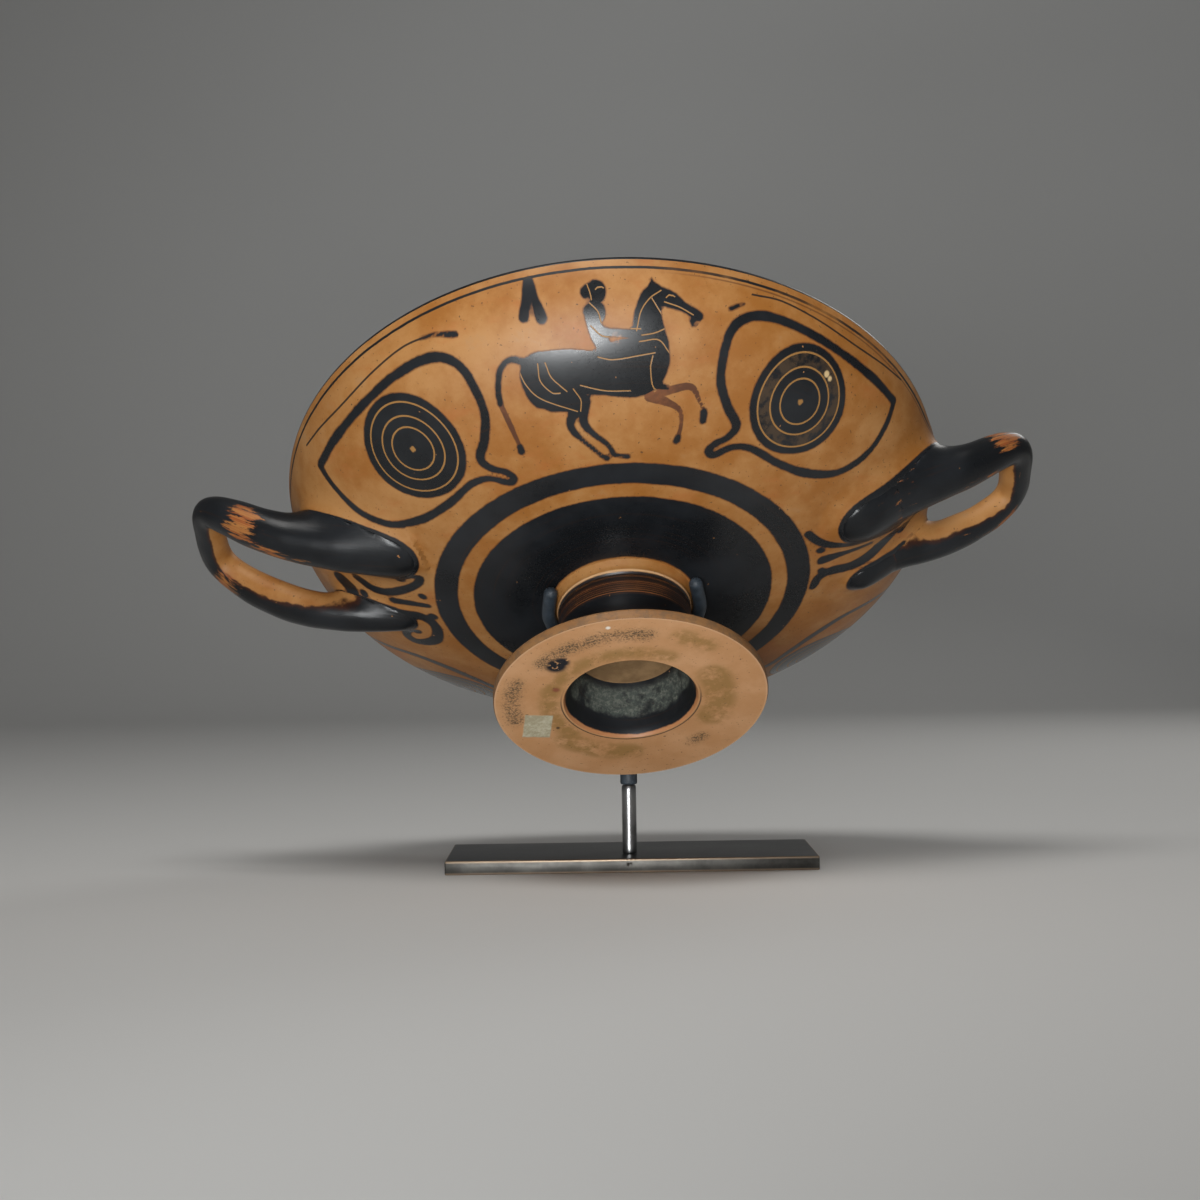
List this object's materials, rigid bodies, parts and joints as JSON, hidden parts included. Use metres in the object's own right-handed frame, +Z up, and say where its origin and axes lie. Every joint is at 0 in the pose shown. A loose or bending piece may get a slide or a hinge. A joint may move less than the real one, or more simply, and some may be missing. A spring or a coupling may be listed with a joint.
{
  "type": "kylix cup on display stand",
  "caption": "Shallow two-handled black-figure drinking cup with a hollow foot, leaning back in the fork of a rod stand on a flat plate.",
  "frame": {"origin": "middle of the foot plate's underside, on the surface the stand rests on", "axes": "+Z up, +X along the handles' line to the viewer's right, +Y away from the viewer; the cup's underside faces -Y and down"},
  "size_m": [0.3655, 0.2276, 0.2518],
  "materials": {
    "fired_clay": "satin",
    "sleeved_rod": "matte",
    "bare_rod": "satin",
    "plate_metal": "satin"
  },
  "bodies": {
    "root": {"kylix_cup": "fired_clay", "cradle_arm": "sleeved_rod", "cradle_post": "bare_rod", "foot_plate": "plate_metal"}
  },
  "joints": []
}
